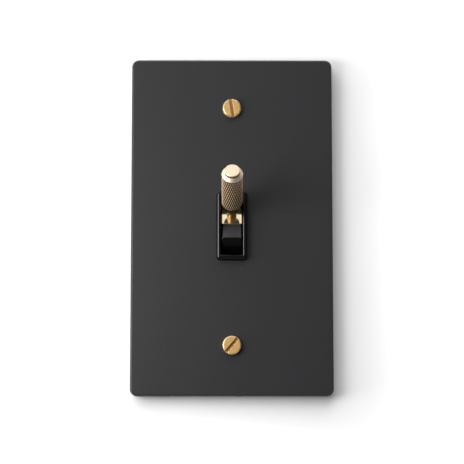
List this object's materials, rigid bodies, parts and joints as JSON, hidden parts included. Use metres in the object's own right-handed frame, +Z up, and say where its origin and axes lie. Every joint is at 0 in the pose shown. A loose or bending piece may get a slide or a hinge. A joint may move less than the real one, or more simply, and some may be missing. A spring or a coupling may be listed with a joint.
{
  "type": "four-way toggle switch",
  "caption": "Wall toggle switch: flat black metal face plate, brass slotted screws and a knurled brass toggle handle, with a crossover contact mechanism behind the wall.",
  "frame": {"origin": "middle of the wall plane behind the face plate, midway between the two plate screws", "axes": "+Z up, +Y into the wall, +X to the right as seen from the room"},
  "size_m": [0.0706, 0.0569, 0.1184],
  "materials": {
    "satin_black_metal": "satin",
    "screw_brass": "satin",
    "turned_brass": "polished",
    "polished_brass": "polished",
    "black_gloss_plastic": "gloss",
    "black_matte_plastic": "matte",
    "zinc_plated_steel": "satin",
    "spring_steel": "satin",
    "contact_silver": "satin",
    "terminal_brass": "satin",
    "fibre_sheet": "matte",
    "dark_screw_steel": "satin",
    "green_screw_steel": "satin"
  },
  "bodies": {
    "housing": {"face_plate": "satin_black_metal", "plate_screws": "screw_brass", "switch_cover": "black_gloss_plastic", "switch_base": "black_matte_plastic", "mounting_strap": "zinc_plated_steel", "strap_rivets": "zinc_plated_steel", "detent_spring": "spring_steel", "rocker_pins": "spring_steel", "left_input_terminal": "terminal_brass", "right_input_terminal": "terminal_brass", "left_output_terminal": "terminal_brass", "right_output_terminal": "terminal_brass", "left_output_contacts": "contact_silver", "right_output_contacts": "contact_silver", "crossover_insulator": "fibre_sheet", "input_terminal_screws": "dark_screw_steel", "output_terminal_screws": "screw_brass", "ground_screw": "green_screw_steel"},
    "toggle": {"toggle_lever": "black_gloss_plastic", "knurled_handle": "turned_brass", "handle_base_plate": "polished_brass"},
    "left_rocker": {"left_rocker": "terminal_brass", "left_rocker_contacts": "contact_silver"},
    "right_rocker": {"right_rocker": "terminal_brass", "right_rocker_contacts": "contact_silver"}
  },
  "joints": [
    {"name": "toggle_hinge", "type": "hinge", "parent": "housing", "child": "toggle", "pos_m": [0, 0.0035, 0], "axis": [1, 0, 0], "range_deg": [0, 56], "deforming": ["detent_spring"]},
    {"name": "left_rocker_hinge", "type": "hinge", "parent": "housing", "child": "left_rocker", "pos_m": [-0.008, 0.0195, 0], "axis": [1, 0, 0], "range_deg": [-30.64, 0.5]},
    {"name": "right_rocker_hinge", "type": "hinge", "parent": "housing", "child": "right_rocker", "pos_m": [0.008, 0.0195, 0], "axis": [1, 0, 0], "range_deg": [-30.64, 0.5]}
  ],
  "couplings": [
    {"joint": "left_rocker_hinge", "follows": "toggle_hinge", "ratio": -0.53815},
    {"joint": "right_rocker_hinge", "follows": "toggle_hinge", "ratio": -0.53815}
  ]
}
